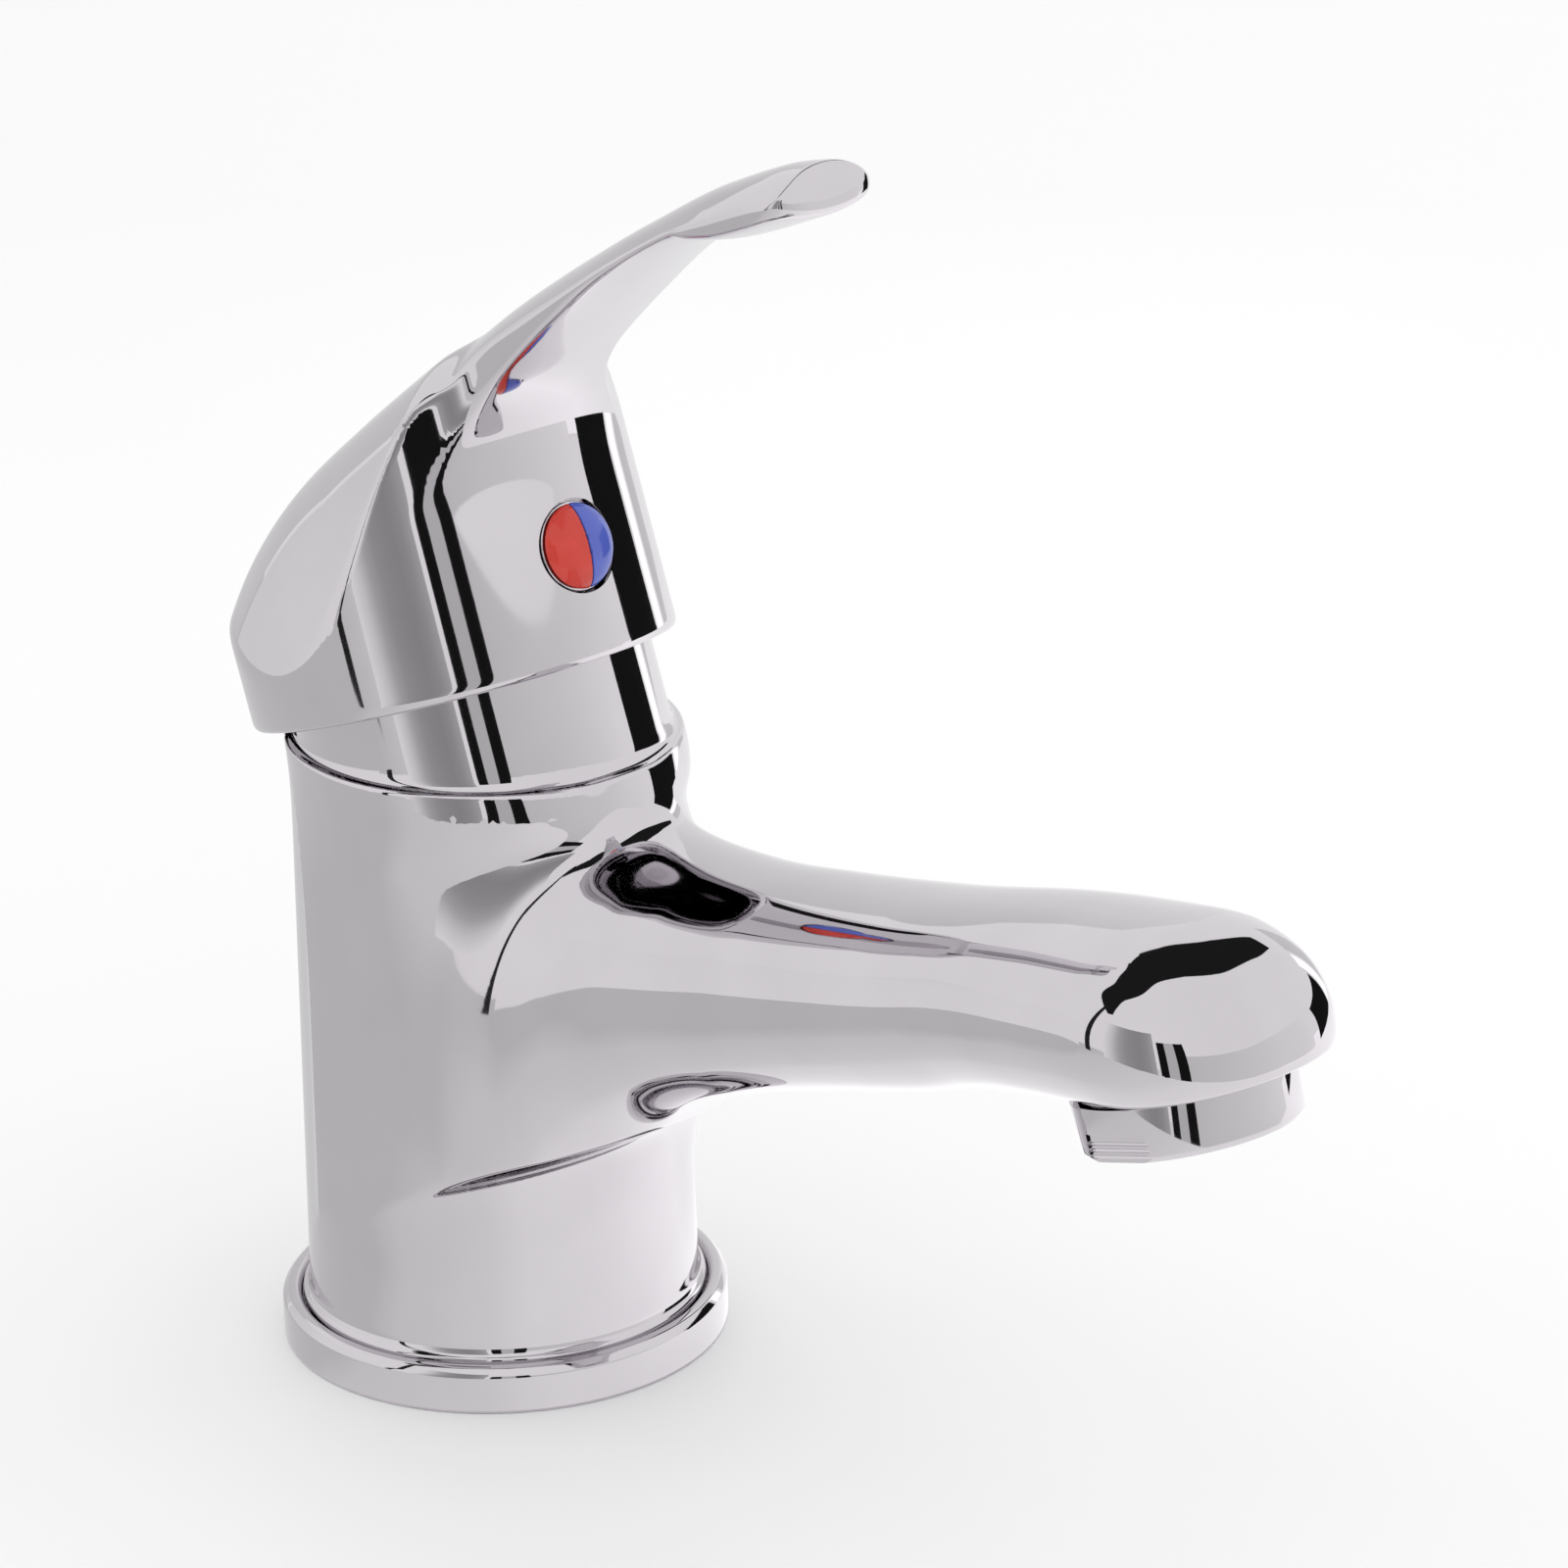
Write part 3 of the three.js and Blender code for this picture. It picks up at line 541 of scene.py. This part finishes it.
def make_handle():
    bm = bmesh.new()
    skirt = bmesh.ops.create_cone(bm, cap_ends=True, segments=96, radius1=1.0, radius2=1.0, depth=1.0)
    for v in skirt["verts"]:
        v.co = skirt_point(v.co.x, -v.co.y, SKIRT_BOTTOM if v.co.z < 0 else 9.0)
    dome = bmesh.ops.create_uvsphere(bm, u_segments=64, v_segments=32, radius=1.0)
    for v in dome["verts"]:
        x, front, up = v.co.x, -v.co.y, v.co.z
        length = SKIRT_BACK if front < 0 else SKIRT_FRONT
        high = float(handle_top(np.float64(x * SKIRT_SIDE), np.float64(front * length)))
        rise = max(0.0, up) ** 0.6 * (high - 8.0) if up > 0 else up * 3.0
        v.co = skirt_point(x, front, 8.0 + rise)
    add_loft(bm, [8, 14, 20, 26, 33, 42, 52, 60, 66, 73, 78.6], lever_ring)
    obj = new_object("lever_handle", bm)
    remeshed(obj, 0.75)
    settle(obj.data, handle_shape, 30)
    refine(obj.data, handle_shape, 14)
    refine(obj.data, handle_shape, 14)
    front = lean_matrix() @ Matrix.Translation((0, 0, BUTTON_UP)) @ Matrix.Rotation(math.radians(90), 4, "X")
    cuts = handle_hollows() + rods_to_cut(
        dict(radius=2.8, low=2.0, high=28.0, matrix=front, sides=48),
        dict(radius=5.35, low=23.2, high=28.0, matrix=front, sides=72),
    )
    finish_piece(obj, handle_shape, cuts, "lever", ["handle"])
    return obj


# ---- Turned pieces and the index button ----------------------------------------------
def finish_trim(obj, body, nodes):
    smooth_faces(obj.data)
    obj.data.set_sharp_from_angle(angle=math.radians(30))
    hand_over(obj, body, nodes)


def make_base_ring():
    profile = [(21.3, 0), (23.1, 0), (23.1, 2.1), (25.3, 2.1), (25.3, 0), (26.1, 0), (26.2, 0.6),
               (26.2, 4.6), (25.5, 5.5), (24.5, 5.6), (24.0, 5.1), (23.8, 4.6), (21.3, 4.6)]
    obj = turned("turned_base_ring", profile, 0.22)
    finish_trim(obj, "mixer_body", ["base_ring"])
    return obj


def make_cover():
    profile = [(18.6, 8.3), (20, 8.3), (20, 9.1), (18.4, 10.9), (16.8, 11.4), (12, 11.4), (12, 10.5),
               (16.2, 10.5)]
    obj = turned("neck_cover", profile, 0.2, lean_matrix())
    finish_trim(obj, "mixer_body", ["cartridge_cover"])
    return obj


def make_aerator_housing():
    profile = [(9.7, -6.2), (11.5, -6.2), (12.0, -5.6), (12.1, -0.3), (11, -0.3), (11, 7), (9.7, 7)]
    obj = turned("aerator_collar", profile, 0.14, jet_matrix())
    tools = []
    for side in (-1, 1):
        bm = bmesh.new()
        flat = Matrix.Translation((side * 15.5, 0, -4.7)) @ Matrix.Diagonal((9.0, 8.4, 3.2, 1))
        bmesh.ops.create_cube(bm, size=1.0, matrix=jet_matrix() @ flat)
        tools.append(new_object("flat", bm))
        for height in (-5.6, -4.9, -4.2):
            bm = bmesh.new()
            groove = Matrix.Translation((side * 11.1, 0, height)) @ Matrix.Rotation(math.radians(90), 4, "X")
            add_rod(bm, 0.24, -4.4, 4.4, jet_matrix() @ groove, sides=12)
            tools.append(new_object("groove", bm))
    cut_with(obj, tools)
    finish_trim(obj, "mixer_body", ["aerator_housing"])
    return obj


def button_matrix():
    """The index button's own frame: Z points out of the handle's front."""
    place = lean_matrix() @ Matrix.Translation((0, -BUTTON_FRONT, BUTTON_UP))
    return place @ Matrix.Rotation(math.radians(90), 4, "X")


def make_index_plug():
    bm = bmesh.new()
    add_rod(bm, 5.05, -0.8, 0.0, button_matrix(), sides=96)
    rim = [e for e in bm.edges if e.calc_face_angle(0) > 1.0]
    bmesh.ops.bevel(bm, geom=rim, offset=0.15, segments=3, profile=0.5, material=-1, affect="EDGES")
    add_rod(bm, 2.5, -6.5, -0.8, button_matrix(), sides=48)
    obj = new_object("button_plug", bm)
    finish_trim(obj, "lever", ["index_plug"])
    return obj


def make_index_half(name, node, side):
    bm = bmesh.new()
    dome = button_matrix() @ Matrix.Diagonal((4.9, 4.9, 2.2, 1))
    bmesh.ops.create_uvsphere(bm, u_segments=72, v_segments=36, radius=1.0, matrix=dome)
    matrix = button_matrix()
    out, across = matrix.col[2].to_3d(), Vector((side, 0, 0))
    planes = ((matrix @ Vector((0, 0, 0.3)), out), (matrix @ Vector((0.08 * side, 0, 0)), across))
    for point, normal in planes:
        bmesh.ops.bisect_plane(bm, geom=bm.verts[:] + bm.edges[:] + bm.faces[:], dist=1e-5,
                               plane_co=point, plane_no=normal, clear_inner=True)
        bmesh.ops.holes_fill(bm, edges=[e for e in bm.edges if e.is_boundary], sides=0)
    rim = [e for e in bm.edges if e.calc_face_angle(0) > 0.7]
    bmesh.ops.bevel(bm, geom=rim, offset=0.12, segments=3, profile=0.5, material=-1, affect="EDGES")
    obj = new_object(name, bm)
    finish_trim(obj, "lever", [node])
    return obj


body = make_body()
handle = make_handle()
ring = make_base_ring()
cover = make_cover()
collar = make_aerator_housing()
plug = make_index_plug()
red_half = make_index_half("red_index", "index_hot_half", -1)
blue_half = make_index_half("blue_index", "index_cold_half", 1)


# ---- Materials -----------------------------------------------------------------------
def new_material(name, color, roughness, metallic=0.0):
    m = bpy.data.materials.new(name)
    m.use_nodes = True
    shader = m.node_tree.nodes["Principled BSDF"]
    shader.inputs["Base Color"].default_value = (*color, 1)
    shader.inputs["Metallic"].default_value = metallic
    shader.inputs["Roughness"].default_value = roughness
    return m, m.node_tree, shader


def add_noise(tree, scale, detail=4.0, stretch=(1, 1, 1)):
    """Noise in the piece's own coordinates. Scale is per metre."""
    place = tree.nodes.new("ShaderNodeTexCoord")
    mapping = tree.nodes.new("ShaderNodeMapping")
    mapping.inputs["Scale"].default_value = stretch
    noise = tree.nodes.new("ShaderNodeTexNoise")
    noise.inputs["Scale"].default_value = scale
    noise.inputs["Detail"].default_value = detail
    tree.links.new(place.outputs["Object"], mapping.inputs["Vector"])
    tree.links.new(mapping.outputs["Vector"], noise.inputs["Vector"])
    return noise.outputs["Fac"]


def ramp(tree, value, *stops):
    node = tree.nodes.new("ShaderNodeValToRGB")
    elements = node.color_ramp.elements
    while len(elements) < len(stops):
        elements.new(0.5)
    for element, (position, color) in zip(elements, stops):
        element.position = position
        element.color = (*color, 1) if isinstance(color, tuple) else (color, color, color, 1)
    tree.links.new(value, node.inputs["Fac"])
    return node.outputs["Color"]


def add_bump(tree, shader, value, strength, distance):
    bump = tree.nodes.new("ShaderNodeBump")
    bump.inputs["Strength"].default_value = strength
    bump.inputs["Distance"].default_value = distance
    tree.links.new(value, bump.inputs["Height"])
    tree.links.new(bump.outputs["Normal"], shader.inputs["Normal"])


def plated_chrome(name, wave):
    """Chrome plate: the polish waves very slightly, and handling leaves a faint haze."""
    m, tree, shader = new_material(name, (0.63, 0.605, 0.635), 0.03, 1.0)
    haze = add_noise(tree, 38.0, 6.0)
    tree.links.new(ramp(tree, haze, (0.35, 0.022), (0.75, 0.06)), shader.inputs["Roughness"])
    tint = ramp(tree, add_noise(tree, 90.0, 3.0), (0.3, (0.615, 0.59, 0.62)), (0.7, (0.645, 0.62, 0.65)))
    tree.links.new(tint, shader.inputs["Base Color"])
    add_bump(tree, shader, add_noise(tree, 55.0, 1.0), wave, 0.0006)
    return m


def turned_metal(name, color, roughness, stretch):
    """Machined metal with fine turning lines and a slight colour drift."""
    m, tree, shader = new_material(name, color, roughness, 1.0)
    lines = add_noise(tree, 900.0, 3.0, stretch)
    low, high = (tuple(c * k for c in color) for k in (0.85, 1.08))
    tree.links.new(ramp(tree, add_noise(tree, 120.0), (0.3, low), (0.7, high)), shader.inputs["Base Color"])
    tree.links.new(ramp(tree, lines, (0.3, roughness * 0.7), (0.7, roughness * 1.4)),
                   shader.inputs["Roughness"])
    add_bump(tree, shader, lines, 0.25, 0.0001)
    return m


def moulded(name, color, roughness, grain, depth):
    """Moulded or pressed material with a fine grain and a slightly uneven colour."""
    m, tree, shader = new_material(name, color, roughness)
    texture = add_noise(tree, grain, 5.0)
    low, high = (tuple(min(1.0, c * k) for c in color) for k in (0.88, 1.1))
    tree.links.new(ramp(tree, add_noise(tree, 150.0), (0.3, low), (0.7, high)), shader.inputs["Base Color"])
    tree.links.new(ramp(tree, texture, (0.3, roughness * 0.8), (0.7, min(1.0, roughness * 1.25))),
                   shader.inputs["Roughness"])
    add_bump(tree, shader, texture, 0.3, depth)
    return m


casting_chrome = plated_chrome("casting_chrome", 0.012)
trim_chrome = plated_chrome("trim_chrome", 0.01)
black_rubber = moulded("black_rubber", (0.02, 0.02, 0.022), 0.7, 700.0, 0.0001)
grey_plastic = moulded("grey_plastic", (0.15, 0.165, 0.18), 0.45, 1200.0, 0.00005)
white_plastic = moulded("white_plastic", (0.72, 0.72, 0.69), 0.4, 1200.0, 0.00005)
ceramic = moulded("lapped_ceramic", (0.84, 0.81, 0.74), 0.22, 2200.0, 0.00002)
steel = turned_metal("stainless_steel", (0.42, 0.43, 0.44), 0.3, (1, 1, 6))
brass = turned_metal("plain_brass", (0.52, 0.33, 0.09), 0.3, (1, 1, 6))
red_plastic = moulded("red_plastic", (0.62, 0.045, 0.03), 0.12, 300.0, 0.00004)
blue_plastic = moulded("blue_plastic", (0.09, 0.13, 0.55), 0.12, 300.0, 0.00004)

finishes = {
    black_rubber: ("base_seal", "hot_port_seal", "cold_port_seal", "mixed_port_seal", "turret_o_ring",
                   "aerator_washer"),
    grey_plastic: ("cartridge_base", "cartridge_housing", "disc_carrier", "spindle_turret"),
    white_plastic: ("aerator_insert",),
    ceramic: ("fixed_ceramic_disc", "moving_ceramic_disc"),
    steel: ("spindle_pivot_pin", "handle_set_screw", "aerator_screen"),
    brass: ("lever_spindle", "cartridge_nut"),
}
new_pieces = {
    casting_chrome: (body, handle),
    trim_chrome: (ring, cover, collar, plug),
    red_plastic: (red_half,),
    blue_plastic: (blue_half,),
}
for material, names in finishes.items():
    for name in names:
        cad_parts[name].data.materials.clear()
        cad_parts[name].data.materials.append(material)
for material, pieces in new_pieces.items():
    for piece in pieces:
        piece.data.materials.clear()
        piece.data.materials.append(material)


# ---- Studio --------------------------------------------------------------------------
CAMERA_TURN, CAMERA_RISE, CAMERA_ROLL = 44.0, 20.81, 1.48
CAMERA_PLACE = Vector((-0.45232, -0.51790, 0.32734))
PANEL_DISTANCE = 0.5
PANEL_MIDDLE = Vector((0, 0, 0.09))
BOOM_DISTANCE = 1.9


def add_camera():
    az, el, roll = math.radians(CAMERA_TURN), math.radians(CAMERA_RISE), math.radians(CAMERA_ROLL)
    right = Vector((math.cos(az), -math.sin(az), 0))
    back = Vector((-math.sin(az) * math.cos(el), -math.cos(az) * math.cos(el), math.sin(el)))
    up = back.cross(right)
    tilted_right = math.cos(roll) * right - math.sin(roll) * up
    tilted_up = math.sin(roll) * right + math.cos(roll) * up
    data = bpy.data.cameras.new("camera")
    data.sensor_width = 36
    data.lens = 147.19
    camera = bpy.data.objects.new("camera", data)
    place = Matrix((tilted_right, tilted_up, back)).transposed().to_4x4()
    place.translation = CAMERA_PLACE
    camera.matrix_world = place
    bpy.context.scene.collection.objects.link(camera)
    bpy.context.scene.camera = camera


def glow(name, level):
    m = bpy.data.materials.new(name)
    m.use_nodes = True
    tree = m.node_tree
    tree.nodes.clear()
    emission = tree.nodes.new("ShaderNodeEmission")
    emission.inputs["Color"].default_value = (1, 1, 1, 1)
    emission.inputs["Strength"].default_value = level
    output = tree.nodes.new("ShaderNodeOutputMaterial")
    tree.links.new(emission.outputs["Emission"], output.inputs["Surface"])
    return m, tree, emission


def stage_reflector(obj, material):
    """A studio flag or panel that is only there for the polished metal to mirror."""
    obj.data.materials.append(material)
    obj.visible_camera = False
    obj.visible_diffuse = False
    obj.visible_shadow = False


def around(tree, emission, levels):
    """Sets the glow by the direction from the middle. levels is (degrees from the front, level)."""
    brightest = max(level for turn, level in levels)
    place = tree.nodes.new("ShaderNodeTexCoord")
    radial = tree.nodes.new("ShaderNodeTexGradient")
    radial.gradient_type = "RADIAL"
    tree.links.new(place.outputs["Object"], radial.inputs["Vector"])
    stops = sorted((((turn - 90.0) / 360.0 + 0.5) % 1.0, level / brightest) for turn, level in levels)
    if stops[-1][0] - stops[0][0] > 0.8:
        stops.append((1.0, stops[0][1]))
    tree.links.new(ramp(tree, radial.outputs["Color"], *stops), emission.inputs["Color"])
    emission.inputs["Strength"].default_value = brightest


def add_panel(name, turn, rise, *levels):
    """A curved panel. turn is from and to in degrees from the front towards the right, and
    rise is from and to in degrees above the level."""
    bm = bmesh.new()
    bmesh.ops.create_grid(bm, x_segments=16, y_segments=8, size=0.5)
    for v in bm.verts:
        az = math.radians(turn[0] + (v.co.x + 0.5) * (turn[1] - turn[0]))
        el = math.radians(rise[0] + (v.co.y + 0.5) * (rise[1] - rise[0]))
        out = Vector((math.sin(az) * math.cos(el), -math.cos(az) * math.cos(el), math.sin(el)))
        v.co = PANEL_MIDDLE + PANEL_DISTANCE * out
    panel = new_object(name, bm)
    material, tree, emission = glow(name, levels[0])
    if len(levels) > 1:
        spread = [turn[0] + i * (turn[1] - turn[0]) / (len(levels) - 1) for i in range(len(levels))]
        around(tree, emission, list(zip(spread, levels)))
    stage_reflector(panel, material)


def add_boom(name, *stations):
    """A dark boom that crosses overhead. stations are (turn, rise, half width) in degrees."""
    place = []
    for turn, rise, half in stations:
        az, el = math.radians(turn), math.radians(rise)
        place.append((math.sin(az) * math.cos(el), -math.cos(az) * math.cos(el), math.sin(el), half))
    steps = [curve_through(*enumerate(values)) for values in zip(*place)]
    bm = bmesh.new()
    bmesh.ops.create_grid(bm, x_segments=48, y_segments=4, size=0.5)
    for v in bm.verts:
        at = (v.co.x + 0.5) * (len(stations) - 1)
        middle = Vector([float(step(at)) for step in steps[:3]]).normalized()
        ahead = Vector([float(step(at + 0.01)) for step in steps[:3]]).normalized()
        across = middle.cross(ahead - middle).normalized()
        half = math.radians(float(steps[3](at)))
        v.co = BOOM_DISTANCE * (middle + 2.0 * v.co.y * math.tan(half) * across).normalized()
    boom = new_object(name, bm)
    stage_reflector(boom, glow(name, 0.015)[0])


def add_floor():
    bm = bmesh.new()
    bmesh.ops.create_grid(bm, x_segments=1, y_segments=1, size=3.0)
    floor = new_object("floor", bm)
    floor.data.materials.append(new_material("pale_floor", (0.97, 0.97, 0.97), 0.6)[0])


def add_floor_card():
    """The floor as the metal mirrors it: dimmer at the left and back, brighter at the right."""
    bm = bmesh.new()
    bmesh.ops.create_circle(bm, cap_ends=True, segments=96, radius=1.6,
                            matrix=Matrix.Translation((0, 0, 0.0004)))
    card = new_object("floor_card", bm)
    material, tree, emission = glow("floor_card", 1.0)
    around(tree, emission, [(-170, 0.7), (-105, 0.68), (-90, 0.8), (-48, 0.88), (-30, 0.98), (18, 1.1),
                            (36, 1.2), (62, 1.3), (90, 1.15), (115, 1.0), (148, 0.72)])
    stage_reflector(card, material)


add_camera()
add_floor()
add_floor_card()
add_panel("back_left_panel", (-180, -108), (-9, 20), 0.85, 0.98, 1.0)
add_panel("thin_left_flag", (-103.0, -99.6), (-10, 57), 0.02)
add_panel("grey_left_panel", (-90, -53), (-10, 38), 1.0, 0.8, 0.52, 0.4, 0.36, 0.34, 0.38, 0.5)
add_panel("front_left_flag", (-50.5, -45), (-10, 28), 0.01)
add_panel("front_left_grey", (-45, -38), (-10, 28), 0.6)
add_panel("front_flag", (-38, -31), (-10, 28), 0.01)
add_panel("front_panel", (-31, 50), (-10, 14), 0.72, 0.8, 0.88, 1.0)
add_panel("right_flag", (57, 84), (-10, 10), 0.01)
add_panel("right_glow", (86, 93), (-10, 14), 1.6)
add_panel("right_grey", (95, 106), (-10, 14), 0.75)
add_panel("back_right_panel", (116, 178), (-9, 24), 0.95, 0.8, 0.72, 0.75)
add_boom("overhead_boom", (-106, 52, 1.5), (-116, 60, 4), (-132, 68, 6), (-160, 77, 7), (150, 74, 7),
         (124, 64, 10), (110, 54, 11), (106, 42, 7), (107, 28, 3))
world = bpy.data.worlds.new("studio")
world.use_nodes = True
background = world.node_tree.nodes["Background"]
background.inputs["Color"].default_value = (1, 1, 1, 1)
background.inputs["Strength"].default_value = 1.0
bpy.context.scene.world = world
bpy.context.scene.view_settings.view_transform = "Standard"
